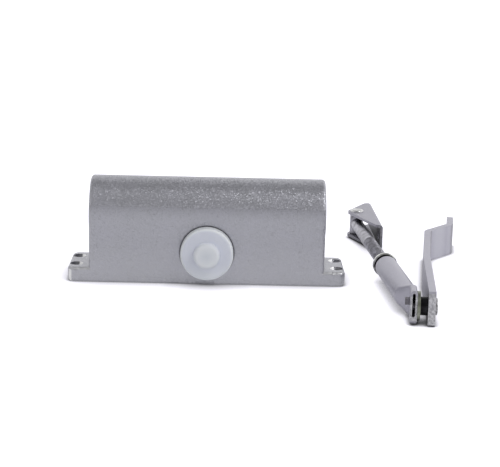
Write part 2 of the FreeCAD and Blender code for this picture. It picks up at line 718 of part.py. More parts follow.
def make_elbow_pin():
    """Shouldered pin: head, shank in the main arm, neck in one tube wall, square tail in the other."""
    o = V(0, 0, 0)
    head_from = ARM_FACE + SLIDE
    head = cylinder(ELBOW_HEAD_RADIUS, head_from, head_from + ELBOW_HEAD, o, X)
    head = head.makeFillet(ELBOW_HEAD / 2, outer_rim(head, o, X, head_from + ELBOW_HEAD))
    shank = cylinder(ELBOW_SHANK_RADIUS, BUSH_FROM, head_from, o, X)
    neck = cylinder(ELBOW_NECK_RADIUS, FLAT_OUTSIDE_WALL, BUSH_FROM, o, X)
    key = elbow_key(FLAT_OUTSIDE - ELBOW_PROUD, FLAT_OUTSIDE_WALL)
    pin = head.fuse([shank, neck, key]).removeSplitter()
    return place(pin, ARM_LEAN, ELBOW)


def make_elbow_bush():
    o = V(0, 0, 0)
    bush = ring(ELBOW_BUSH_RADIUS, ELBOW_SHANK_RADIUS, BUSH_FROM, BUSH_FROM + ELBOW_BUSH, o, X)
    return place(bush, ARM_LEAN, ELBOW)


def make_elbow_washer():
    o = V(0, 0, 0)
    washer = ring(ELBOW_WASHER_RADIUS, ELBOW_NECK_RADIUS, WASHER_FROM, BUSH_FROM, o, X)
    return place(washer, ARM_LEAN, ELBOW)


# ================= forearm =================

def unit(lean_clockwise):
    """Direction along an arm and direction to its right, in plan."""
    a = math.radians(lean_clockwise)
    return V(math.sin(a), math.cos(a), 0), V(math.cos(a), -math.sin(a), 0)


ARM_ALONG, ARM_RIGHT = unit(ARM_LEAN)
FOREARM_ALONG, FOREARM_RIGHT = unit(-FOREARM_LEAN)
FOREARM_BASE = ELBOW + ARM_RIGHT * FLAT_MIDDLE
SHOE_PIVOT = FOREARM_BASE + FOREARM_ALONG * FOREARM_LENGTH


def flat_section(centre, right, half_width, low, high):
    """Slot-shaped section standing on end: two straight sides joined by half circles."""
    tl = centre - right * half_width + Z * (high - half_width)
    tr = centre + right * half_width + Z * (high - half_width)
    br = centre + right * half_width + Z * (low + half_width)
    bl = centre - right * half_width + Z * (low + half_width)
    return Part.Wire([
        Part.Arc(tl, centre + Z * high, tr).toShape(),
        Part.makeLine(tr, br),
        Part.Arc(br, centre + Z * low, bl).toShape(),
        Part.makeLine(bl, tl),
    ])


def round_section(centre, right, radius):
    """Circle in four arcs that match the four edges of the flat section."""
    q = radius * math.sqrt(0.5)
    tl = centre - right * q + Z * q
    tr = centre + right * q + Z * q
    br = centre + right * q - Z * q
    bl = centre - right * q - Z * q
    return Part.Wire([
        Part.Arc(tl, centre + Z * radius, tr).toShape(),
        Part.Arc(tr, centre + right * radius, br).toShape(),
        Part.Arc(br, centre - Z * radius, bl).toShape(),
        Part.Arc(bl, centre - right * radius, tl).toShape(),
    ])


def forearm_skin(half_width, low, high, radius):
    """Solid that is flat at the elbow, tapers to round, and runs straight to the mouth."""
    end_reach = ARM_NEAR + OVERCUT
    nose = FOREARM_BASE - ARM_ALONG * end_reach
    flat_end = FOREARM_BASE + ARM_ALONG * FLAT_LENGTH
    taper_end = FOREARM_BASE + FOREARM_ALONG * TAPER_END
    flat = Part.Face(flat_section(nose, ARM_RIGHT, half_width, low, high))
    flat = flat.extrude(ARM_ALONG * (FLAT_LENGTH + end_reach))
    taper = Part.makeLoft([
        flat_section(flat_end, ARM_RIGHT, half_width, low, high),
        round_section(taper_end, FOREARM_RIGHT, radius),
    ], True, True)
    tube = Part.makeCylinder(radius, TUBE_MOUTH - TAPER_END, taper_end, FOREARM_ALONG)
    return flat.fuse([taper, tube]).removeSplitter()


def make_forearm_tube():
    outside = forearm_skin(FLAT_THICKNESS / 2, -FLAT_HEIGHT / 2, FLAT_HEIGHT / 2, TUBE_RADIUS)
    mouth = outer_rim(outside, FOREARM_BASE, FOREARM_ALONG, TUBE_MOUTH)
    outside = outside.makeFillet(MOUTH_ROUND, mouth)
    inside = forearm_skin(FLAT_THICKNESS / 2 - TUBE_WALL, SLOT_LOW, SLOT_HIGH, TUBE_RADIUS - TUBE_WALL)
    tube = outside.cut(inside)
    # The flattened end is squared off level with the main arm, with round corners.
    left = FLAT_MIDDLE - FLAT_THICKNESS
    right = FLAT_MIDDLE + FLAT_THICKNESS
    half = ARM_WIDTH / 2
    keep = box(left, right, -ARM_NEAR, ARM_NEAR, -half, half)
    keep = keep.makeFillet(FLAT_CORNER, cross_at(keep, -ARM_NEAR))
    waste = box(left, right, -2 * ARM_NEAR, 0, -ARM_WIDTH, ARM_WIDTH).cut(keep)
    neck = cylinder(ELBOW_NECK_RADIUS, FLAT_INSIDE_WALL - SLIDE, WASHER_FROM + OVERCUT, V(0, 0, 0), X)
    key = elbow_key(FLAT_OUTSIDE - OVERCUT, FLAT_OUTSIDE_WALL + SLIDE)
    return tube.cut(place(Part.makeCompound([waste, neck, key]), ARM_LEAN, ELBOW))


def make_tube_insert():
    """Threaded sleeve fixed in the mouth of the tube."""
    start = TUBE_MOUTH - INSERT_LENGTH
    return ring(TUBE_RADIUS - TUBE_WALL, ROD_RADIUS + RUN, start, TUBE_MOUTH, FOREARM_BASE,
                FOREARM_ALONG)


def make_lock_nut():
    start = TUBE_MOUTH + LOCK_GAP
    end = start + LOCK_LENGTH
    shoulder = start + LOCK_TAPER
    face = FOREARM_BASE + FOREARM_ALONG * start
    taper = Part.makeCone(LOCK_FACE_RADIUS, LOCK_RADIUS, LOCK_TAPER, face, FOREARM_ALONG)
    nut = taper.fuse(cylinder(LOCK_RADIUS, shoulder, end, FOREARM_BASE, FOREARM_ALONG))
    nut = nut.makeFillet(LOCK_ROUND, outer_rim(nut, FOREARM_BASE, FOREARM_ALONG, end))
    return nut.cut(cylinder(ROD_RADIUS + RUN, start - OVERCUT, end + OVERCUT, FOREARM_BASE, FOREARM_ALONG))


def make_rod():
    """Threaded rod that ends in an upright eye for the shoe rivet."""
    root = ROD_RADIUS - ROD_THREAD_DEPTH
    crest = ROD_RADIUS
    thread_end = FOREARM_LENGTH - ROD_PLAIN
    points = [V(0, ROD_START, 0), V(root, ROD_START, 0)]
    along = ROD_START
    while along + ROD_PITCH <= thread_end:
        points.append(V(crest, along + ROD_PITCH / 2, 0))
        points.append(V(root, along + ROD_PITCH, 0))
        along += ROD_PITCH
    points.append(V(crest, along + ROD_THREAD_DEPTH, 0))
    points.append(V(crest, FOREARM_LENGTH, 0))
    points.append(V(0, FOREARM_LENGTH, 0))
    profile = Part.Face(Part.makePolygon(points + [points[0]]))
    rod = profile.revolve(V(0, 0, 0), Y, 360)
    eye_half = SHOE_HEIGHT / 2 - SHOE_SHEET - SLIDE
    eye_base = V(0, FOREARM_LENGTH, 0)
    eye = cylinder(EYE_RADIUS, -eye_half, eye_half, eye_base, Z)
    rod = rod.fuse(eye).removeSplitter()
    through = eye_half + OVERCUT
    rod = rod.cut(cylinder(RIVET_RADIUS + RUN, -through, through, eye_base, Z))
    return place(rod, -FOREARM_LEAN, FOREARM_BASE)


# ================= shoe bracket =================

def tangent_point(corner, radius, side):
    """Where the tangent from corner touches a circle round the origin; side picks which one."""
    distance = corner.Length
    towards = math.atan2(corner.y, corner.x)
    opening = math.acos(radius / distance)
    angle = towards + side * opening
    return V(radius * math.cos(angle), radius * math.sin(angle), 0)


def make_shoe():
    """Channel of bent sheet: mounting wall, and two ears that meet the rod at their nose."""
    front = V(SHOE_FRONT_CORNER, SHOE_FRONT, 0)
    rear = V(SHOE_REAR_CORNER, SHOE_REAR, 0)
    front_touch = tangent_point(front, SHOE_NOSE_RADIUS, -1)
    rear_touch = tangent_point(rear, SHOE_NOSE_RADIUS, 1)
    edges = [
        Part.makeLine(V(SHOE_WALL_OFFSET, SHOE_FRONT, 0), front),
        Part.makeLine(front, front_touch),
        Part.Arc(front_touch, V(-SHOE_NOSE_RADIUS, 0, 0), rear_touch).toShape(),
        Part.makeLine(rear_touch, rear),
        Part.makeLine(rear, V(SHOE_WALL_OFFSET, SHOE_REAR, 0)),
        Part.makeLine(V(SHOE_WALL_OFFSET, SHOE_REAR, 0), V(SHOE_WALL_OFFSET, SHOE_FRONT, 0)),
    ]
    solid = Part.Face(Part.Wire(edges)).extrude(Z * SHOE_HEIGHT)
    solid.translate(Z * (-SHOE_HEIGHT / 2))
    corners = []
    for e in edges_where(solid, upright):
        p = e.valueAt(e.FirstParameter)
        if abs(p.x - front.x) < 1e-3 or abs(p.x - rear.x) < 1e-3:
            corners.append(e)
    solid = solid.makeFillet(SHOE_CORNER, corners)
    wall_edges = []
    for e in solid.Edges:
        b = e.BoundBox
        if b.XMin > SHOE_WALL_OFFSET - 1e-3 and spans(e, 1, SHOE_REAR - SHOE_FRONT):
            wall_edges.append(e)
    solid = solid.makeFillet(SHOE_BEND, wall_edges)
    wide = SHOE_WALL_OFFSET * 2
    inner_half = SHOE_HEIGHT / 2 - SHOE_SHEET
    inner_wall = SHOE_WALL_OFFSET - SHOE_SHEET
    inside = box(-wide, inner_wall, SHOE_FRONT - OVERCUT, SHOE_REAR + OVERCUT, -inner_half, inner_half)
    inner_edges = []
    for e in inside.Edges:
        b = e.BoundBox
        if b.XMin > inner_wall - 1e-3 and spans(e, 1, SHOE_REAR - SHOE_FRONT + 2 * OVERCUT):
            inner_edges.append(e)
    inside = inside.makeFillet(SHOE_BEND - SHOE_SHEET, inner_edges)
    shoe = solid.cut(inside)
    shoe = shoe.cut(cylinder(RIVET_RADIUS, -SHOE_HEIGHT, SHOE_HEIGHT, V(0, 0, 0), Z))
    half_slot = SHOE_SLOT_LENGTH / 2 - SHOE_HOLE_RADIUS
    for along in (SHOE_HOLE_FRONT, SHOE_HOLE_REAR):
        slot = box(0, wide, along - half_slot, along + half_slot, -SHOE_HOLE_RADIUS, SHOE_HOLE_RADIUS)
        for end in (along - half_slot, along + half_slot):
            slot = slot.fuse(cylinder(SHOE_HOLE_RADIUS, 0, wide, V(0, end, 0), X))
        shoe = shoe.cut(slot.removeSplitter())
    return place(shoe, -SHOE_LEAN, SHOE_PIVOT)


def make_shoe_rivet():
    half = SHOE_HEIGHT / 2
    o = V(0, 0, 0)
    rivet = cylinder(RIVET_RADIUS, -half, half, o, Z)
    for axis in (Z, Z * -1):
        head = cylinder(RIVET_HEAD_RADIUS, half, half + RIVET_HEAD, o, axis)
        head = head.makeFillet(RIVET_HEAD * 0.8, outer_rim(head, o, axis, half + RIVET_HEAD))
        rivet = rivet.fuse(head)
    rivet = rivet.removeSplitter()
    rivet.translate(SHOE_PIVOT)
    return rivet


# ================= write the nodes =================

os.makedirs("parts", exist_ok=True)

SIDES_X = (("left", -1), ("right", 1))
SIDES_Y = (("front", -1), ("rear", 1))

save("housing", make_housing())
for label, way in SIDES_X:
    save("end_plug_" + label, make_plug(way))
    save("plug_seal_" + label, make_plug_seal(way))
for label, way in SIDES_Y:
    save("spindle_bearing_" + label, make_bearing(way))
    save("spindle_seal_" + label, make_seal(way))
    save("gland_nut_" + label, make_gland(way))
    save("valve_screw_" + label, make_valve_screw(way))
    save("valve_seal_" + label, make_valve_seal(way))
save("spring_seat", make_spring_seat())
save("pinion", make_pinion())
save("piston", make_piston())
save("piston_rings", make_piston_rings())
save("check_seat", make_check_seat())
save("check_ball", Part.makeSphere(CHECK_BALL_RADIUS, check_ball_centre()))
save("return_spring", make_spring())
save("spindle_cap", make_cap())
save("main_arm", make_main_arm())
save("elbow_pin", make_elbow_pin())
save("elbow_bush", make_elbow_bush())
save("elbow_washer", make_elbow_washer())
save("forearm_tube", make_forearm_tube())
save("tube_insert", make_tube_insert())
save("lock_nut", make_lock_nut())
save("threaded_rod", make_rod())
save("shoe_bracket", make_shoe())
save("shoe_rivet", make_shoe_rivet())
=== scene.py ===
import json
import math

import bpy
from mathutils import Matrix, Vector


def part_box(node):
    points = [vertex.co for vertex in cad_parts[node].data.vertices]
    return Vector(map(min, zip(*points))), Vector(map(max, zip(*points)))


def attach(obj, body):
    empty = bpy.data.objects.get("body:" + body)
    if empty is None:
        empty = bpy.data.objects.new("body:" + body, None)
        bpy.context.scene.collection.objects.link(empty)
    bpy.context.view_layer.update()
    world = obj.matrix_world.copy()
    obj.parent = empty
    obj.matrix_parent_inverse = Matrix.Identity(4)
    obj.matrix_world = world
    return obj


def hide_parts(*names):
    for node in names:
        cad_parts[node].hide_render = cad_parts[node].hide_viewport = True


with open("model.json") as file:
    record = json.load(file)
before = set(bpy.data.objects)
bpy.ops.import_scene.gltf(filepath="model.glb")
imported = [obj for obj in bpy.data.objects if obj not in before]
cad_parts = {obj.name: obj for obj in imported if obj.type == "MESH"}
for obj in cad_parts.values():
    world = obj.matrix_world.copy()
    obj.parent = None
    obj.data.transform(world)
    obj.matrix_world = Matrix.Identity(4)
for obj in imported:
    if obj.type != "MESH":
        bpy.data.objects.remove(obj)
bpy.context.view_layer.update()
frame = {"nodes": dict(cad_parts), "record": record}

# Looks of an overhead door closer and its loose arm set. Sizes are in metres and places come from
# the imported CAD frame; colours are linear red, green and blue.

MM = 0.001
NODES = frame["nodes"]
JOINTS = {joint["name"]: joint for joint in frame["record"]["behaviour"]["joints"]}
MOUNTS = {mount["name"]: mount for mount in frame["record"]["mounts"]}
UP = Vector((0, 0, 1))
MATERIALS = {}


# ---- material building blocks ----

def new_material(name):
    """New material, kept in MATERIALS under its name."""
    material = bpy.data.materials.new(name)
    material.use_nodes = True
    MATERIALS[name] = material
    tree = material.node_tree
    return tree, tree.nodes["Principled BSDF"]


def add(tree, kind, **settings):
    """New shader node with its properties and unlinked inputs set by name."""
    node = tree.nodes.new(kind)
    for key, value in settings.items():
        if hasattr(node, key):
            setattr(node, key, value)
        else:
            node.inputs[key.replace("_", " ")].default_value = value
    return node


def link(tree, source, target):
    tree.links.new(source, target)


def place_of(tree):
    """Position on the object in metres."""
    return add(tree, "ShaderNodeTexCoord").outputs["Object"]


def coordinates_of(tree):
    """X, Y and Z of the position on the object."""
    split = add(tree, "ShaderNodeSeparateXYZ")
    link(tree, place_of(tree), split.inputs["Vector"])
    return split.outputs["X"], split.outputs["Y"], split.outputs["Z"]


def noise(tree, size, detail=3.0, stretch=None):
    """Noise whose features are about size metres across, from 0 to 1."""
    texture = add(tree, "ShaderNodeTexNoise", Scale=1.0 / size, Detail=detail)
    coordinates = place_of(tree)
    if stretch:
        mapping = add(tree, "ShaderNodeMapping", Scale=stretch)
        link(tree, coordinates, mapping.inputs["Vector"])
        coordinates = mapping.outputs["Vector"]
    link(tree, coordinates, texture.inputs["Vector"])
    return texture.outputs["Fac"]


def cells(tree, size):
    """Random colour for each small cell of about size metres."""
    texture = add(tree, "ShaderNodeTexVoronoi", Scale=1.0 / size)
    link(tree, place_of(tree), texture.inputs["Vector"])
    return texture.outputs["Color"]


def grains(tree, size):
    """Random grey for each small cell of about size metres, from 0 to 1."""
    channel = add(tree, "ShaderNodeSeparateColor")
    link(tree, cells(tree, size), channel.inputs["Color"])
    return channel.outputs["Red"]


def remap(tree, value, low, high, to_low, to_high):
    """Value taken from the range low to high onto the range to_low to to_high, and held there."""
    node = add(tree, "ShaderNodeMapRange",
               From_Min=low, From_Max=high, To_Min=to_low, To_Max=to_high)
    link(tree, value, node.inputs["Value"])
    return node.outputs["Result"]


def fade(tree, value, none, full, strength=1.0):
    """0 where the value is at none, growing to strength where it is at full."""
    return remap(tree, value, none, full, 0.0, strength)


NOISE_SPAN = (0.3, 0.7)                    # most of a noise lies between these levels


def uneven(tree, pattern, low, high):
    """Value that wanders between low and high with a noise pattern."""
    return remap(tree, pattern, *NOISE_SPAN, low, high)


def compute(tree, operation, first, second=0.0):
    """Result of a Math node; each operand is a number or a socket."""
    node = add(tree, "ShaderNodeMath", operation=operation)
    for value, socket in ((first, node.inputs[0]), (second, node.inputs[1])):
        if isinstance(value, (int, float)):
            socket.default_value = value
        else:
            link(tree, value, socket)
    return node.outputs[0]


def product(tree, *factors):
    """Product of numbers and sockets."""
    total = factors[0]
    for factor in factors[1:]:
        total = compute(tree, "MULTIPLY", total, factor)
    return total


def difference(tree, first, second):
    return compute(tree, "SUBTRACT", first, second)


def diagonal(tree, first, second):
    """Length of the diagonal over two distances."""
    squares = compute(tree, "ADD", product(tree, first, first), product(tree, second, second))
    return compute(tree, "SQRT", squares)


def combine(tree, operation, first, second):
    """Vector from two vectors, each given as numbers or as a socket."""
    node = add(tree, "ShaderNodeVectorMath", operation=operation)
    for value, socket in ((first, node.inputs[0]), (second, node.inputs[1])):
        if isinstance(value, tuple):
            socket.default_value = value
        else:
            link(tree, value, socket)
    return node.outputs["Vector"]


def dot(tree, vector, direction):
    """How far a vector socket reaches along a direction, given as numbers or as a socket."""
    node = add(tree, "ShaderNodeVectorMath", operation="DOT_PRODUCT")
    link(tree, vector, node.inputs[0])
    if isinstance(direction, (tuple, Vector)):
        node.inputs[1].default_value = direction
    else:
        link(tree, direction, node.inputs[1])
    return node.outputs["Value"]


def mix(tree, factor, first, second):
    """Colour between first and second; each is a colour or a socket, and the factor a socket."""
    node = add(tree, "ShaderNodeMix", data_type="RGBA")
    link(tree, factor, node.inputs["Factor"])
    for value, socket in ((first, node.inputs[6]), (second, node.inputs[7])):
        if isinstance(value, tuple):
            socket.default_value = (*value, 1)
        else:
            link(tree, value, socket)
    return node.outputs[2]


def face_normal(tree):
    return add(tree, "ShaderNodeNewGeometry").outputs["Normal"]


def facing(tree, direction):
    """1 where the surface faces the direction, 0 where it is square to it."""
    return dot(tree, face_normal(tree), direction)


def soft_normal(tree, radius):
    """Surface direction with the sharp edges rounded off over this radius."""
    return add(tree, "ShaderNodeBevel", samples=4, Radius=radius).outputs["Normal"]


EDGE_COSINES = (0.98, 0.80)                # between the soft and the true surface direction


def edge_mask(tree, radius):
    """1 on sharp edges and 0 on open faces, for wear."""
    return fade(tree, dot(tree, soft_normal(tree, radius), face_normal(tree)), *EDGE_COSINES)


def cavity(tree, reach, closed, open_at):
    """1 deep in gaps and corners within reach metres of other surfaces, 0 on open faces."""
    occlusion = add(tree, "ShaderNodeAmbientOcclusion", samples=6, Distance=reach)
    return remap(tree, occlusion.outputs["AO"], closed, open_at, 1.0, 0.0)


def flaked(tree, normal, size, tilt):
    """Surface direction that changes a little from one paint flake to the next."""
    turn = combine(tree, "SUBTRACT", cells(tree, size), (0.5,) * 3)
    turn = combine(tree, "MULTIPLY", turn, (tilt,) * 3)
    total = combine(tree, "ADD", normal, turn)
    return combine(tree, "NORMALIZE", total, (0.0,) * 3)


def bump(tree, shader, height, strength, depth, normal=None):
    """Bump from a height socket on top of a given surface direction."""
    node = add(tree, "ShaderNodeBump", Strength=strength, Distance=depth)
    link(tree, height, node.inputs["Height"])
    if normal:
        link(tree, normal, node.inputs["Normal"])
    link(tree, node.outputs["Normal"], shader.inputs["Normal"])


# ---- silver paint of the housing and the arms ----

CLOUD_SIZE = 14 * MM                       # slow changes of tone
CLOUD_SPAN = (0.35, 0.65)
FLAKE_BRIGHT = 0.75                        # the quarter of the flakes over this level is bright
FLAKE_LIGHT = 0.12                         # share of the light tone in the brightest flakes
EDGE_WEAR = 0.40 * MM
EDGE_LIGHT = 0.7                           # share of the light tone on edges
PAINT_ROUGH = (0.30, 0.36)
FLAKE_ROUGH = 0.08
PAINT_ROUNDING = 0.35 * MM                 # how far paint rounds off the edges
PEEL_SIZE = 0.8 * MM                       # orange peel
PEEL_STRENGTH = 0.25
PEEL_DEPTH = 0.06 * MM
# painted shade, laid into crevices by the occlusion mask
CREVICE_SHADE_TONE = (0.035, 0.033, 0.040)


def silver_paint(name, base, dark, light, metallic, flake, tilt, crevices):
    """Metallic paint: flakes, cloudiness, orange peel, bright edges, painted shade in its crevices.
    """
    tree, shader = new_material(name)
    cloud = noise(tree, CLOUD_SIZE)
    speck = grains(tree, flake)
    tone = mix(tree, fade(tree, cloud, *CLOUD_SPAN), dark, base)
    tone = mix(tree, fade(tree, speck, FLAKE_BRIGHT, 1.0, FLAKE_LIGHT), tone, light)
    tone = mix(tree, product(tree, edge_mask(tree, EDGE_WEAR), EDGE_LIGHT), tone, light)
    # painted shade in gaps and corners
    tone = mix(tree, cavity(tree, **crevices), tone, CREVICE_SHADE_TONE)
    rough = compute(tree, "ADD", uneven(tree, cloud, *PAINT_ROUGH),
                    fade(tree, speck, 0.0, 1.0, FLAKE_ROUGH))
    link(tree, tone, shader.inputs["Base Color"])
    link(tree, rough, shader.inputs["Roughness"])
    shader.inputs["Metallic"].default_value = metallic
    normal = flaked(tree, soft_normal(tree, PAINT_ROUNDING), flake, tilt)
    bump(tree, shader, noise(tree, PEEL_SIZE, 2.0), PEEL_STRENGTH, PEEL_DEPTH, normal)
    return tree, shader, tone


def cap_circle():
    """Centre and radius of the spindle cap."""
    low, high = (Vector(corner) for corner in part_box("spindle_cap"))
    return (low + high) / 2, (high.x - low.x) / 2


CREASE_HEIGHT = 48.0 * MM                  # the arched top of the housing begins here
CREASE_FADE = 10 * MM
CREASE_DEPTH = 0.28
CREASE_SLACK = 0.05 * MM
CREASE_SHADE_TONE = (0.02, 0.02, 0.02)


def crease_shade(tree, z):
    """Painted shade deepening on the flat sides, up to the line where the arched top begins."""
    near = fade(tree, z, CREASE_HEIGHT - CREASE_FADE, CREASE_HEIGHT)
    flat = compute(tree, "LESS_THAN", z, CREASE_HEIGHT + CREASE_SLACK)
    return product(tree, near, near, flat, CREASE_DEPTH)


GAP_SHADE_FULL = 0.2 * MM                        # the painted shade round the cap is full up to here
GAP_SHADE_END = 1.3 * MM                       # and gone from here, both from the cap's edge
GAP_DEPTH = 0.85
GAP_NONE_BELOW = -9 * MM                   # heights from the cap's centre
GAP_FULL_ABOVE = -2 * MM
GAP_SHADE_TONE = (0.03, 0.03, 0.035)


def cap_gap_shade(tree, x, z):
    """Painted shade on the front face along the edge of the cap, all round but below."""
    centre, radius = cap_circle()
    up = difference(tree, z, centre.z)
    out = diagonal(tree, difference(tree, x, centre.x), up)
    line = fade(tree, out, radius + GAP_SHADE_END, radius + GAP_SHADE_FULL, GAP_DEPTH)
    return product(tree, line, fade(tree, up, GAP_NONE_BELOW, GAP_FULL_ABOVE))


LEFT_CORNER = (-0.66, -0.75, 0.0)          # directions that the corner and the front rim face
FRONT_RIM = (0.0, -0.71, 0.71)
CORNER_COSINES = (0.94, 0.985)             # from those directions, where the painted highlight begins and is full
RIM_COSINES = (0.80, 0.92)
CORNER_LIGHT = 0.75
RIM_LIGHT = 0.30
CORNER_TOP = 7 * MM                        # the corner's painted highlight fades from here
CORNER_END = 8.5 * MM                      # to here
FOOT_TOP = 10 * MM                         # just over the feet
FOOT_HIGHLIGHT_TONE = (0.95, 0.95, 0.94)


def foot_highlight(tree, z):
    """Painted highlight on the upright corner and the front rim of a foot."""
    corner = fade(tree, facing(tree, LEFT_CORNER), *CORNER_COSINES, CORNER_LIGHT)
    low = fade(tree, z, CORNER_END, CORNER_TOP)
    rim = fade(tree, facing(tree, FRONT_RIM), *RIM_COSINES, RIM_LIGHT)
    foot = compute(tree, "LESS_THAN", z, FOOT_TOP)
    return compute(tree, "MAXIMUM", product(tree, corner, low), product(tree, rim, foot))


SEAT_RADIUS = 4.1 * MM                     # just past the rim of the countersinks
SEAT_GLINT_START = 1.3 * MM                       # towards the body, a seat shows a painted dark reflection up to here
SEAT_GLINT_FULL = 2.1 * MM                     # and a painted glint from here, both from the hole's axis
SEAT_DARK_REFLECTION = (0.24, 0.24, 0.26)
SEAT_GLINT_TONE = (1.0, 1.0, 1.0)
SEAT_SHADE_TONE = (0.06, 0.06, 0.075)
SEAT_SHADE_SHARE = 0.8
SEAT_DEPTHS = {"reach": 3 * MM, "closed": 0.08, "open_at": 0.35}


def screw_seats(tree, x, y):
    """Mask and tone of the bare countersinks in the feet, with a painted glint towards the body, a
    painted dark reflection on the other side and painted shade deep inside.
    """
    pattern = MOUNTS["feet_screws"]["dims"]
    inward = difference(tree, pattern["spacing_x_mm"] / 2 * MM, compute(tree, "ABSOLUTE", x))
    aside = difference(tree, pattern["spacing_y_mm"] / 2 * MM, compute(tree, "ABSOLUTE", y))
    seat = compute(tree, "LESS_THAN", diagonal(tree, inward, aside), SEAT_RADIUS)
    bright = fade(tree, inward, SEAT_GLINT_START, SEAT_GLINT_FULL)
    bare = mix(tree, bright, SEAT_DARK_REFLECTION, SEAT_GLINT_TONE)
    seat_shade = product(tree, cavity(tree, **SEAT_DEPTHS), SEAT_SHADE_SHARE)
    return seat, mix(tree, seat_shade, bare, SEAT_SHADE_TONE)


BODY_METALLIC = 0.75
BARE_METALLIC = 1.0
# painted light: the walls lighter towards the bottom
LOW_ZONE_TOP = 26 * MM                     # the walls grow lighter from here
LOW_ZONE_FULL = 3 * MM                     # down to here
LOW_ZONE_SHARE = 0.22
LOW_ZONE_TONE = (0.68, 0.68, 0.71)


def body_paint():
    """The housing's paint, with painted light and shade; the countersinks in its feet are bare
    metal.
    """
    tree, shader, tone = silver_paint(
        "body_paint",
        base=(0.445, 0.445, 0.492),
        dark=(0.430, 0.432, 0.472),
        light=(0.68, 0.68, 0.72),
        metallic=BODY_METALLIC,
        flake=0.60 * MM,
        tilt=0.40,
        crevices={"reach": 1.8 * MM, "closed": 0.15, "open_at": 0.80},
    )
    x, y, z = coordinates_of(tree)
    # painted light, lighter towards the bottom of the walls
    low = fade(tree, z, LOW_ZONE_TOP, LOW_ZONE_FULL, LOW_ZONE_SHARE)
    tone = mix(tree, low, tone, LOW_ZONE_TONE)
    # painted shade below the crease
    tone = mix(tree, crease_shade(tree, z), tone, CREASE_SHADE_TONE)
    # painted shade round the cap
    tone = mix(tree, cap_gap_shade(tree, x, z), tone, GAP_SHADE_TONE)
    # painted highlight on the foot's corner and front rim
    tone = mix(tree, foot_highlight(tree, z), tone, FOOT_HIGHLIGHT_TONE)
    # painted glint, painted dark reflection and painted shade in the countersinks
    seat, bare = screw_seats(tree, x, y)
    link(tree, mix(tree, seat, tone, bare), shader.inputs["Base Color"])
    metallic = remap(tree, seat, 0.0, 1.0, BODY_METALLIC, BARE_METALLIC)
    link(tree, metallic, shader.inputs["Metallic"])


# Painted shade in the groove between the tube's mouth and the lock nut.
MOUTH_REACH = 12 * MM                      # the groove is looked for this near the lock nut
MOUTH_BLUR = 0.25 * MM
TUBE_GROOVE_SHADE = (-5.1 * MM, -3.7 * MM)         # from the middle of the nut: round the tube's mouth
NUT_GROOVE_SHADE = (-3.3 * MM, -1.1 * MM)          # and round the side of the nut that faces the tube
GROOVE_SHADE_TONE = (0.012, 0.012, 0.015)


def mouth_groove(tree, before, after):
    """1 in the groove at the mouth of the forearm tube, between two distances from the lock nut,
    where shade is painted.
    """
    joint = JOINTS["lock_nut_turn"]
    offset = combine(tree, "SUBTRACT", place_of(tree), tuple(joint["pos_m"]))
    along = dot(tree, offset, Vector(joint["axis"]).normalized())
    length = add(tree, "ShaderNodeVectorMath", operation="LENGTH")
    link(tree, offset, length.inputs[0])
    past = fade(tree, along, before - MOUTH_BLUR, before + MOUTH_BLUR)
    short = fade(tree, along, after + MOUTH_BLUR, after - MOUTH_BLUR)
    near = compute(tree, "LESS_THAN", length.outputs["Value"], MOUTH_REACH)
    return product(tree, past, short, near)


SHOE_IN_FRONT = 50 * MM                    # the shoe's zone, from the pivot of the shoe
SHOE_TO_RIGHT = 25 * MM


def shoe_zone(tree):
    """1 around the shoe bracket and 0 elsewhere."""
    pivot = JOINTS["shoe_swing"]["pos_m"]
    x, y, z = coordinates_of(tree)
    behind = compute(tree, "GREATER_THAN", y, pivot[1] - SHOE_IN_FRONT)
    left = compute(tree, "LESS_THAN", x, pivot[0] + SHOE_TO_RIGHT)
    return product(tree, behind, left)


def sideways(degrees):
    """Level direction this far round from +X towards -Y."""
    return math.cos(math.radians(degrees)), -math.sin(math.radians(degrees)), 0.0


BEND_FACE = sideways(24)                   # halfway round the bends, where a dark reflection is painted
BEND_COSINES = (math.cos(math.radians(13)), 0.999)
BEND_SHARE = 0.75
BEND_DARK_REFLECTION = (0.24, 0.235, 0.265)
PANEL_FACE = sideways(40.3)                # the cranked part of the bar faces this way
PANEL_COSINES = (0.97, 0.99)
PANEL_LIGHT_STREAKS = (0.64, 0.64, 0.70)
STREAK_SIZE = 9 * MM
STREAK_STRETCH = (1.0, 1.0, 0.05)          # the painted light streaks on the crank run upright
STREAK_SPAN = (0.40, 0.62)
STREAK_SHARES = (0.08, 0.48)
CUT_FACE = (0.0, -1.0, 0.0)                # the cut ends of the arms face this way
CUT_COSINES = (0.90, 0.97)
CUT_SHARE = 0.75
CUT_DARK = (0.32, 0.32, 0.33)
CUT_LIGHT = (0.70, 0.70, 0.71)
CHIP_SIZE = 1.3 * MM
CHIP_SPAN = (0.38, 0.62)


def arm_faces(tree, tone):
    """Tone of the arms with a painted dark reflection round the bends, painted light streaks on the
    crank and cut ends worn to speckled steel.
    """
    # painted dark reflection round the bends
    bends = fade(tree, facing(tree, BEND_FACE), *BEND_COSINES, BEND_SHARE)
    tone = mix(tree, bends, tone, BEND_DARK_REFLECTION)
    # painted light streaks on the crank
    panel = fade(tree, facing(tree, PANEL_FACE), *PANEL_COSINES)
    streaks = noise(tree, STREAK_SIZE, 1.0, STREAK_STRETCH)
    streaks = remap(tree, streaks, *STREAK_SPAN, *STREAK_SHARES)
    tone = mix(tree, product(tree, panel, streaks), tone, PANEL_LIGHT_STREAKS)
    cut = fade(tree, facing(tree, CUT_FACE), *CUT_COSINES, CUT_SHARE)
    chips = fade(tree, noise(tree, CHIP_SIZE, 4.0), *CHIP_SPAN)
    return mix(tree, cut, tone, mix(tree, chips, CUT_DARK, CUT_LIGHT))


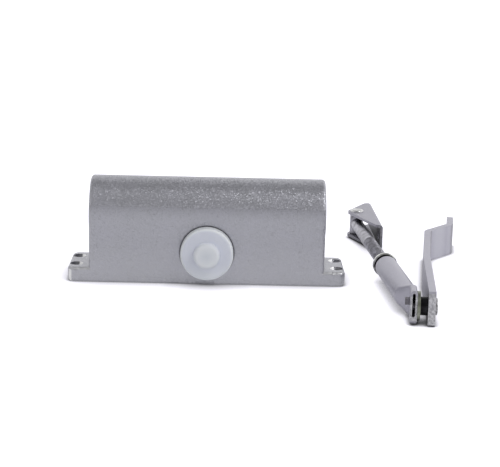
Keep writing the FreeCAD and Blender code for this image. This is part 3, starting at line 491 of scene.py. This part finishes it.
SHOE_TONE = (0.24, 0.235, 0.28)
SHOE_SHARE = 0.40
SHOE_DEPTHS = {"reach": 24 * MM, "closed": 0.28, "open_at": 0.78}
SHOE_INSIDE_SHADE = (0.018, 0.017, 0.024)
UPWARD_COSINES = (0.5, 0.9)
UPWARD_SHARE = 0.15                        # how much of the painted shade inside the upward faces keep


def shoe_shades(tree, tone):
    """Tone of the shoe bracket: darker than the arms, with painted shade inside."""
    shoe = shoe_zone(tree)
    tone = mix(tree, product(tree, shoe, SHOE_SHARE), tone, SHOE_TONE)
    # painted shade inside the shoe
    inside_shade = cavity(tree, **SHOE_DEPTHS)
    upward = remap(tree, facing(tree, UP), *UPWARD_COSINES, 1.0, UPWARD_SHARE)
    return mix(tree, product(tree, shoe, inside_shade, upward), tone, SHOE_INSIDE_SHADE)


def arm_paint():
    """Paint of the arms and the shoe."""
    tree, shader, tone = silver_paint(
        "arm_paint",
        base=(0.480, 0.470, 0.550),
        dark=(0.455, 0.446, 0.520),
        light=(0.70, 0.70, 0.75),
        metallic=0.40,
        flake=0.6 * MM,
        tilt=0.12,
        crevices={"reach": 11 * MM, "closed": 0.06, "open_at": 0.42},
    )
    tone = shoe_shades(tree, arm_faces(tree, tone))
    # painted shade in the groove at the tube's mouth
    groove = mouth_groove(tree, *TUBE_GROOVE_SHADE)
    link(tree, mix(tree, groove, tone, GROOVE_SHADE_TONE), shader.inputs["Base Color"])


# ---- metals ----

BLOTCH_SIZE = 5 * MM
BLOTCH_SPAN = (0.35, 0.70)
BLOTCH_ROUGH = 0.06                        # the blotches change the roughness by this much
GRAIN_SIZE = 0.45 * MM                     # tooling marks
GRAIN_ROUGH = 0.05
GRAIN_STRENGTH = 0.4
GRAIN_DEPTH = 0.03 * MM
METAL_ROUNDING = 0.25 * MM
METAL_DEPTHS = {"closed": 0.10, "open_at": 0.70}
# painted shade in crevices
METAL_CREVICE_SHADE = (0.03, 0.03, 0.035)


def metal(name, base, stain, roughness, shade_reach=0.0):
    """Bare or plated metal: blotchy tint, uneven gloss, fine tooling grain, painted shade in
    crevices.
    """
    tree, shader = new_material(name)
    blotch = noise(tree, BLOTCH_SIZE)
    fine = noise(tree, GRAIN_SIZE, 2.0)
    tone = mix(tree, fade(tree, blotch, *BLOTCH_SPAN), base, stain)
    # painted shade in crevices within this reach
    if shade_reach:
        tone = mix(tree, cavity(tree, shade_reach, **METAL_DEPTHS), tone, METAL_CREVICE_SHADE)
    coarse = uneven(tree, blotch, roughness - BLOTCH_ROUGH, roughness + BLOTCH_ROUGH)
    rough = compute(tree, "ADD", coarse, uneven(tree, fine, -GRAIN_ROUGH, GRAIN_ROUGH))
    link(tree, tone, shader.inputs["Base Color"])
    link(tree, rough, shader.inputs["Roughness"])
    shader.inputs["Metallic"].default_value = 1.0
    bump(tree, shader, fine, GRAIN_STRENGTH, GRAIN_DEPTH, soft_normal(tree, METAL_ROUNDING))
    return tree, shader, tone


PIN_HEAD_EDGE = 1 * MM                     # the head is all bright this far from the elbow's axis
PIN_PATCH_SIZE = 2.2 * MM
PIN_PATCH_SPAN = (0.42, 0.58)
PIN_RUBBED_DARK = (0.22, 0.22, 0.22)
PIN_RUBBED_LIGHT = (0.62, 0.62, 0.63)


def pin_steel():
    """The head of the elbow pin is rubbed bright; the tail keeps its dull skin."""
    tree, shader, dull = metal(
        "pin_steel", (0.21, 0.20, 0.225), (0.12, 0.12, 0.13), roughness=0.40, shade_reach=3 * MM)
    x, y, z = coordinates_of(tree)
    head = fade(tree, difference(tree, x, JOINTS["elbow"]["pos_m"][0]), 0.0, PIN_HEAD_EDGE)
    patches = fade(tree, noise(tree, PIN_PATCH_SIZE), *PIN_PATCH_SPAN)
    rubbed = mix(tree, patches, PIN_RUBBED_DARK, PIN_RUBBED_LIGHT)
    link(tree, mix(tree, head, dull, rubbed), shader.inputs["Base Color"])


NUT_UNDER = (-0.80, 0.0, -0.60)            # the side of the nut with painted shade faces this way
NUT_COSINES = (0.35, 0.90)
NUT_UNDER_SHADE = (0.10, 0.10, 0.105)
NUT_UNDER_SHADE_SHARE = 0.85


def nut_zinc():
    """Lock nut with painted shade on the side that faces the tube, and on its underside."""
    tree, shader, nut_tone = metal(
        "nut_zinc", (0.90, 0.91, 0.88), (0.48, 0.48, 0.47), roughness=0.17, shade_reach=3 * MM)
    # painted shade on the nut's underside
    under = fade(tree, facing(tree, NUT_UNDER), *NUT_COSINES, NUT_UNDER_SHADE_SHARE)
    nut_tone = mix(tree, under, nut_tone, NUT_UNDER_SHADE)
    # painted shade in the groove on the side facing the tube
    groove = mouth_groove(tree, *NUT_GROOVE_SHADE)
    link(tree, mix(tree, groove, nut_tone, GROOVE_SHADE_TONE), shader.inputs["Base Color"])


# ---- plastics and rubber ----

CAP_CLOUD_SIZE = 7 * MM
CAP_DARK = (0.735, 0.76, 0.86)
CAP_LIGHT = (0.805, 0.83, 0.92)
CAP_PALE = (0.92, 0.955, 1.0)
CAP_RIM = (1.5 * MM, 0.5 * MM)             # inward from the cap's edge: a painted highlight pales the rim between these
CAP_RIM_SHARE = 0.85
CAP_BOSS = (8.4 * MM, 6.5 * MM)            # radii between which painted light pales the boss
CAP_BOSS_SHARE = 0.55
CAP_FOOT = (-5 * MM, -14 * MM)             # heights from its centre between which the cap pales
CAP_FOOT_SHARE = 0.40
CAP_DIMPLE = (5.5 * MM, 0.5 * MM)          # radii between which painted shade in the dimple of the boss deepens
CAP_DIMPLE_SHARE = 0.22
CAP_DIMPLE_SHADE = (0.40, 0.46, 0.55)
CAP_ROUGH = (0.38, 0.50)
CAP_SKIN_SIZE = 1.6 * MM
CAP_SKIN_STRENGTH = 0.12
CAP_SKIN_DEPTH = 0.08 * MM
CAP_ROUNDING = 0.9 * MM
CAP_SHADER = {
    "Subsurface Weight": 0.30,
    "Subsurface Radius": (1.0, 1.0, 1.1),
    "Subsurface Scale": 1.2 * MM,
    "Coat Weight": 0.15,
    "Coat Roughness": 0.35,
}


def cap_plastic():
    """Milky moulded polyethylene: cloudy, waxy, paler at its foot, with a painted highlight on its
    rim, painted light on its boss and painted shade in its dimple.
    """
    tree, shader = new_material("cap_plastic")
    cloud = noise(tree, CAP_CLOUD_SIZE)
    centre, radius = cap_circle()
    x, y, z = coordinates_of(tree)
    up = difference(tree, z, centre.z)
    out = diagonal(tree, difference(tree, x, centre.x), up)
    inward = difference(tree, radius, out)
    # painted highlight on the rim and painted light on the boss
    rim = fade(tree, inward, *CAP_RIM, CAP_RIM_SHARE)
    boss = fade(tree, out, *CAP_BOSS, CAP_BOSS_SHARE)
    foot = fade(tree, up, *CAP_FOOT, CAP_FOOT_SHARE)
    pale = compute(tree, "MAXIMUM", compute(tree, "MAXIMUM", rim, boss), foot)
    tone = mix(tree, pale, mix(tree, cloud, CAP_DARK, CAP_LIGHT), CAP_PALE)
    # painted shade in the dimple
    dimple = fade(tree, out, *CAP_DIMPLE, CAP_DIMPLE_SHARE)
    link(tree, mix(tree, dimple, tone, CAP_DIMPLE_SHADE), shader.inputs["Base Color"])
    link(tree, uneven(tree, cloud, *CAP_ROUGH), shader.inputs["Roughness"])
    for name, value in CAP_SHADER.items():
        shader.inputs[name].default_value = value
    skin = noise(tree, CAP_SKIN_SIZE, 2.0)
    normal = soft_normal(tree, CAP_ROUNDING)
    bump(tree, shader, skin, CAP_SKIN_STRENGTH, CAP_SKIN_DEPTH, normal)


SKIN_STRENGTH = 0.2                        # fine skin of the rubber and of the ring plastic
SKIN_DEPTH = 0.03 * MM
RUBBER_GRAIN = 0.3 * MM
RUBBER_PALE = 0.7                          # specks over this level are pale
RUBBER_DARK = (0.020, 0.020, 0.021)
RUBBER_SPECK = (0.045, 0.045, 0.045)
RUBBER_ROUGH = (0.50, 0.65)


def seal_rubber():
    """Black rubber with fine pale specks."""
    tree, shader = new_material("seal_rubber")
    speck = grains(tree, RUBBER_GRAIN)
    tone = mix(tree, fade(tree, speck, RUBBER_PALE, 1.0), RUBBER_DARK, RUBBER_SPECK)
    link(tree, tone, shader.inputs["Base Color"])
    link(tree, remap(tree, speck, 0.0, 1.0, *RUBBER_ROUGH), shader.inputs["Roughness"])
    bump(tree, shader, speck, SKIN_STRENGTH, SKIN_DEPTH)


RING_CLOUD_SIZE = 3 * MM
RING_DARK = (0.80, 0.77, 0.70)
RING_LIGHT = (0.88, 0.86, 0.80)
RING_ROUGH = (0.45, 0.58)
RING_SKIN_SIZE = 0.5 * MM


def ring_plastic():
    """Ivory plastic of the piston rings."""
    tree, shader = new_material("ring_plastic")
    cloud = noise(tree, RING_CLOUD_SIZE)
    link(tree, mix(tree, cloud, RING_DARK, RING_LIGHT), shader.inputs["Base Color"])
    link(tree, uneven(tree, cloud, *RING_ROUGH), shader.inputs["Roughness"])
    bump(tree, shader, noise(tree, RING_SKIN_SIZE), SKIN_STRENGTH, SKIN_DEPTH)


body_paint()
arm_paint()
cap_plastic()
seal_rubber()
ring_plastic()
pin_steel()
nut_zinc()
metal("plug_steel", (0.44, 0.44, 0.47), (0.36, 0.36, 0.38), roughness=0.38, shade_reach=2 * MM)
metal("gland_steel", (0.55, 0.56, 0.55), (0.46, 0.47, 0.45), roughness=0.33, shade_reach=2 * MM)
metal("zinc_steel", (0.46, 0.455, 0.51), (0.22, 0.215, 0.235), roughness=0.33, shade_reach=4 * MM)
metal("washer_steel", (0.30, 0.31, 0.265), (0.20, 0.21, 0.165), roughness=0.38, shade_reach=4 * MM)
metal("bearing_steel", (0.62, 0.62, 0.63), (0.54, 0.54, 0.56), roughness=0.22)
metal("spring_steel", (0.25, 0.25, 0.27), (0.16, 0.15, 0.15), roughness=0.34)
metal("spindle_steel", (0.40, 0.40, 0.42), (0.30, 0.30, 0.31), roughness=0.30)
metal("piston_iron", (0.30, 0.30, 0.31), (0.22, 0.22, 0.22), roughness=0.42)
metal("seat_steel", (0.50, 0.50, 0.52), (0.42, 0.42, 0.43), roughness=0.30)
metal("valve_brass", (0.34, 0.30, 0.20), (0.22, 0.19, 0.13), roughness=0.34)
metal("rivet_steel", (0.80, 0.80, 0.81), (0.45, 0.45, 0.46), roughness=0.22)
metal("bush_dark", (0.030, 0.030, 0.034), (0.014, 0.013, 0.015), roughness=0.45)

for part in frame["record"]["subparts"]:
    node = NODES[part["node"]]
    node.data.materials.clear()
    node.data.materials.append(MATERIALS[part["material_slot"]])


# ---- detailed pieces ----

SHARP_ANGLE = math.radians(40)             # edges bent more than this are drawn sharp


def axes_for(along):
    """Two directions square to along; the second is as near upright as can be."""
    along = along.normalized()
    side = along.cross(UP)
    if side.length < 1e-6:
        side = Vector((1, 0, 0))
    side.normalize()
    return side, side.cross(along)


def skin_of_rings(rings, closed_ends=True):
    """Faces between rings of equal length; each ring is a closed loop of points."""
    points = [point for loop in rings for point in loop]
    count = len(rings[0])
    faces = []
    for row in range(len(rings) - 1):
        for k in range(count):
            a = row * count + k
            b = row * count + (k + 1) % count
            faces.append((a, b, b + count, a + count))
    if closed_ends:
        faces.append(tuple(reversed(range(count))))
        faces.append(tuple(range(len(points) - count, len(points))))
    return points, faces


def make_object(name, shells, slot, body, replaced):
    """Mesh of one or more shells that stands for a CAD node."""
    points = []
    faces = []
    for shell_points, shell_faces in shells:
        first = len(points)
        points.extend(shell_points)
        faces.extend(tuple(index + first for index in face) for face in shell_faces)
    mesh = bpy.data.meshes.new(name)
    mesh.from_pydata(points, [], faces)
    mesh.validate()
    mesh.shade_smooth()
    mesh.set_sharp_from_angle(angle=SHARP_ANGLE)
    piece = bpy.data.objects.new(name, mesh)
    bpy.context.scene.collection.objects.link(piece)
    piece.data.materials.append(MATERIALS[slot])
    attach(piece, body)
    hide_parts(replaced)


def lathe(profile, base, along, segments):
    """Rings turned about an axis from (radius, distance) pairs."""
    side, other = axes_for(along)
    rings = []
    for radius, distance in profile:
        centre = base + along * distance
        loop = []
        for k in range(segments):
            turn = 2 * math.pi * k / segments
            across = side * (radius * math.cos(turn))
            loop.append(centre + across + other * (radius * math.sin(turn)))
        rings.append(loop)
    return rings


# The rod: a real helical thread in place of the CAD's rings, a plain shank and an upright eye.
ROD_RADIUS = 4.2 * MM
ROD_SEGMENTS = 48
THREAD_DEPTH = 0.6 * MM
THREAD_PITCH = 1.25 * MM
THREAD_LENGTH = 107.6 * MM
THREAD_FADE = 2 * THREAD_PITCH             # run-out at both ends
THREAD_SEGMENTS = 36
ROWS_PER_PITCH = 8
CREST_WIDTH = 0.8                          # below 1, crests are wider than roots
EYE_RADIUS = 4.5 * MM
EYE_EDGE = 0.4 * MM
RIVET_RADIUS = 2.45 * MM


def thread_rings(base, along, length):
    """Rings whose radius follows a rounded thread that climbs one pitch for each turn."""
    side, other = axes_for(along)
    rows = round(length / THREAD_PITCH * ROWS_PER_PITCH)
    rings = []
    for row in range(rows + 1):
        distance = length * row / rows
        fading = min(1.0, (length - distance) / THREAD_FADE, distance / THREAD_FADE)
        point = base + along * distance
        loop = []
        for k in range(THREAD_SEGMENTS):
            turn = k / THREAD_SEGMENTS
            wave = 0.5 - 0.5 * math.cos(2 * math.pi * (distance / THREAD_PITCH - turn))
            radius = ROD_RADIUS - THREAD_DEPTH * (1 - wave ** CREST_WIDTH) * fading
            angle = 2 * math.pi * turn
            across = side * (radius * math.cos(angle))
            loop.append(point + across + other * (radius * math.sin(angle)))
        rings.append(loop)
    return rings


def eye_profile(half):
    """Cross-section of the eye as (radius, height) pairs, closed, with its four edges broken."""
    return [
        (RIVET_RADIUS, half - EYE_EDGE),
        (RIVET_RADIUS + EYE_EDGE, half),
        (EYE_RADIUS - EYE_EDGE, half),
        (EYE_RADIUS, half - EYE_EDGE),
        (EYE_RADIUS, -half + EYE_EDGE),
        (EYE_RADIUS - EYE_EDGE, -half),
        (RIVET_RADIUS + EYE_EDGE, -half),
        (RIVET_RADIUS, -half + EYE_EDGE),
        (RIVET_RADIUS, half - EYE_EDGE),
    ]


def make_rod():
    """Threaded rod from its inner end in the tube to its eye on the shoe's rivet."""
    pivot = Vector(JOINTS["shoe_swing"]["pos_m"])
    along = Vector(JOINTS["rod_slide"]["axis"]).normalized()
    low, high = (Vector(corner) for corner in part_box("threaded_rod"))
    inner = pivot - along * ((high.y - low.y - EYE_RADIUS) / along.y)
    shank_length = (pivot - inner).length - THREAD_LENGTH
    shank = [(ROD_RADIUS, -shank_length), (ROD_RADIUS, -2 * EYE_RADIUS), (ROD_RADIUS, 0.0)]
    eye = eye_profile((high.z - low.z) / 2)
    shells = [
        skin_of_rings(thread_rings(inner, along, THREAD_LENGTH)),
        skin_of_rings(lathe(shank, pivot, along, ROD_SEGMENTS)),
        skin_of_rings(lathe(eye, pivot, -UP, ROD_SEGMENTS), closed_ends=False),
    ]
    make_object("rod_with_thread", shells, "zinc_steel", "rod", "threaded_rod")


RIVET_HEAD = 1.2 * MM                      # thickness of each head
RIVET_SLACK = 0.05 * MM                    # shank in its hole
RIVET_SEGMENTS = 64


def make_shoe_rivet():
    """Headed rivet with a shallow dish in each head."""
    low, high = (Vector(corner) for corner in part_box("shoe_rivet"))
    half = (high.z - low.z) / 2
    head = (high.x - low.x) / 2
    shank = RIVET_RADIUS - RIVET_SLACK
    upper = [
        (0.0002 * MM, half - 0.55 * MM),           # middle of the dish
        (head * 0.45, half - 0.50 * MM),           # edge of its floor
        (head * 0.62, half - 0.12 * MM),           # its lip
        (head * 0.72, half),                       # crown of the head
        (head * 0.84, half - 0.08 * MM),
        (head * 0.95, half - 0.45 * MM),           # rounded shoulder
        (head, half - 0.85 * MM),
        (head, half - RIVET_HEAD),
        (shank, half - RIVET_HEAD),
    ]
    profile = upper + [(radius, -distance) for radius, distance in reversed(upper)]
    shell = skin_of_rings(lathe(profile, (low + high) / 2, -UP, RIVET_SEGMENTS))
    make_object("dished_rivet", [shell], "rivet_steel", "shoe", "shoe_rivet")


make_rod()
make_shoe_rivet()


# ---- camera ----

CAMERA_AT = Vector((10.37, -897.54, 243.42)) * MM
CAMERA_AZIMUTH = math.radians(1.03)
CAMERA_ELEVATION = math.radians(13.5)
CAMERA_ROLL = math.radians(1.48)
CAMERA_LENS = 106.3
CAMERA_SENSOR = 36.0
CAMERA_CLIP = (0.05, 50.0)


def make_camera():
    data = bpy.data.cameras.new("camera")
    data.lens = CAMERA_LENS
    data.sensor_width = CAMERA_SENSOR
    data.clip_start, data.clip_end = CAMERA_CLIP
    camera = bpy.data.objects.new("camera", data)
    bpy.context.scene.collection.objects.link(camera)
    forward = Vector((
        math.sin(CAMERA_AZIMUTH) * math.cos(CAMERA_ELEVATION),
        math.cos(CAMERA_AZIMUTH) * math.cos(CAMERA_ELEVATION),
        -math.sin(CAMERA_ELEVATION),
    ))
    right = Vector((math.cos(CAMERA_AZIMUTH), -math.sin(CAMERA_AZIMUTH), 0))
    up = right.cross(forward)
    rolled_right = right * math.cos(CAMERA_ROLL) + up * math.sin(CAMERA_ROLL)
    rolled_up = up * math.cos(CAMERA_ROLL) - right * math.sin(CAMERA_ROLL)
    turn = Matrix((rolled_right, rolled_up, -forward)).transposed()
    camera.matrix_world = Matrix.Translation(CAMERA_AT) @ turn.to_4x4()
    bpy.context.scene.camera = camera


# ---- floor and lights ----

FLOOR_HALF = 6.0
FLOOR_BOUNCE = (0.85, 0.85, 0.86)          # what the floor sends back to the object
FLOOR_SEEN = (0.17, 0.17, 0.18)            # the shadow-catching part of what the camera sees
FLOOR_GLOW = 1.15                          # added for the camera: the open floor reads white
FLOOR_SHEEN = 0.28                         # added in mirrored views of the floor
FLOOR_TINT = (1.0, 0.99, 1.06, 1)          # cool tint of the soft shadows
BLOCK_SHADOW = 18 * MM                     # the glow fades within this distance of the closer
ARM_SHADOW = 9 * MM                        # and within this distance of the thin arm set
CONTACT_REACH = 2.5 * MM                   # and once more where the object touches the floor
ARM_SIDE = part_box("housing")[1][0] + 8 * MM        # between the closer and the arm set
SIDE_BLEND = 6 * MM
BLOCK_SPAN = (0.10, 0.97)                  # share of open sky between which the glow grows
ARM_SPAN = (0.15, 0.82)
SHADOW_SAMPLES = 12
CONTACT_SAMPLES = 8
FLOOR_ROUGH = 0.9
FLOOR_GLOSS = 0.1


def open_sky(tree, samples, reach):
    """Share of the sky that a point of the floor sees past everything within reach metres."""
    node = add(tree, "ShaderNodeAmbientOcclusion", samples=samples, Distance=reach)
    return node.outputs["AO"]


def floor_openness(tree):
    """1 on the open floor, falling to 0 close to the object."""
    block_light = fade(tree, open_sky(tree, SHADOW_SAMPLES, BLOCK_SHADOW), *BLOCK_SPAN)
    arm_light = fade(tree, open_sky(tree, SHADOW_SAMPLES, ARM_SHADOW), *ARM_SPAN)
    x, y, z = coordinates_of(tree)
    beside = fade(tree, x, ARM_SIDE - SIDE_BLEND, ARM_SIDE + SIDE_BLEND)
    block_share = product(tree, block_light, difference(tree, 1.0, beside))
    arm_share = product(tree, arm_light, beside)
    wide = compute(tree, "ADD", block_share, arm_share)
    return product(tree, wide, open_sky(tree, CONTACT_SAMPLES, CONTACT_REACH))


def floor_material():
    tree, shader = new_material("floor_white")
    shader.inputs["Roughness"].default_value = FLOOR_ROUGH
    shader.inputs["Specular IOR Level"].default_value = FLOOR_GLOSS
    shader.inputs["Emission Color"].default_value = FLOOR_TINT
    path = add(tree, "ShaderNodeLightPath")
    seen = mix(tree, path.outputs["Is Camera Ray"], FLOOR_BOUNCE, FLOOR_SEEN)
    link(tree, seen, shader.inputs["Base Color"])
    glow = compute(tree, "ADD", product(tree, path.outputs["Is Camera Ray"], FLOOR_GLOW),
                   product(tree, path.outputs["Is Glossy Ray"], FLOOR_SHEEN))
    link(tree, product(tree, glow, floor_openness(tree)), shader.inputs["Emission Strength"])
    return MATERIALS["floor_white"]


def make_floor():
    corners = [(-FLOOR_HALF, -FLOOR_HALF, 0), (FLOOR_HALF, -FLOOR_HALF, 0),
               (FLOOR_HALF, FLOOR_HALF, 0), (-FLOOR_HALF, FLOOR_HALF, 0)]
    mesh = bpy.data.meshes.new("floor")
    mesh.from_pydata(corners, [], [(0, 1, 2, 3)])
    mesh.materials.append(floor_material())
    floor = bpy.data.objects.new("floor", mesh)
    bpy.context.scene.collection.objects.link(floor)


# Studio brightness by the angle in degrees: up from the front horizon, over the top, to the back.
STUDIO = (
    (0, 0.90),
    (10, 0.70),
    (20, 0.25),
    (36, 0.25),
    (48, 0.52),
    (76, 0.52),
    (92, 0.25),
    (118, 0.25),
    (138, 0.95),
    (180, 1.05),
)
STUDIO_LEFT = 0.70
STUDIO_RIGHT = 0.95
SIDE_INNER = 0.45                          # the side panels fade in between these sines
SIDE_OUTER = 0.75
BACKDROP = (1.0, 1.0, 1.0)


def make_world():
    world = bpy.data.worlds.new("world")
    bpy.context.scene.world = world
    world.use_nodes = True
    tree = world.node_tree
    direction = add(tree, "ShaderNodeSeparateXYZ")
    link(tree, add(tree, "ShaderNodeTexCoord").outputs["Generated"], direction.inputs["Vector"])
    front = product(tree, direction.outputs["Y"], -1.0)
    angle = compute(tree, "ARCTAN2", direction.outputs["Z"], front)
    ramp = add(tree, "ShaderNodeValToRGB")
    link(tree, compute(tree, "DIVIDE", angle, math.pi), ramp.inputs["Fac"])
    stops = ramp.color_ramp.elements
    while len(stops) < len(STUDIO):
        stops.new(1.0)
    for stop, (degrees, level) in zip(stops, STUDIO):
        stop.position = degrees / 180
        stop.color = (level, level, level, 1)
    left = fade(tree, direction.outputs["X"], -SIDE_INNER, -SIDE_OUTER)
    right = fade(tree, direction.outputs["X"], SIDE_INNER, SIDE_OUTER)
    colour = mix(tree, left, ramp.outputs["Color"], (STUDIO_LEFT,) * 3)
    colour = mix(tree, right, colour, (STUDIO_RIGHT,) * 3)
    path = add(tree, "ShaderNodeLightPath")
    colour = mix(tree, path.outputs["Is Camera Ray"], colour, BACKDROP)
    background = tree.nodes["Background"]
    link(tree, colour, background.inputs["Color"])
    background.inputs["Strength"].default_value = 1.0


KEY_DIRECTION = Vector((6.6, -3.85, 9.5))  # towards the lamp
KEY_STRENGTH = 0.6
KEY_SPREAD = math.radians(14)


def make_key():
    data = bpy.data.lights.new("key", "SUN")
    data.energy = KEY_STRENGTH
    data.angle = KEY_SPREAD
    lamp = bpy.data.objects.new("key", data)
    bpy.context.scene.collection.objects.link(lamp)
    lamp.rotation_euler = KEY_DIRECTION.to_track_quat("Z", "Y").to_euler()


make_camera()
make_floor()
make_world()
make_key()
bpy.context.scene.view_settings.view_transform = "Standard"
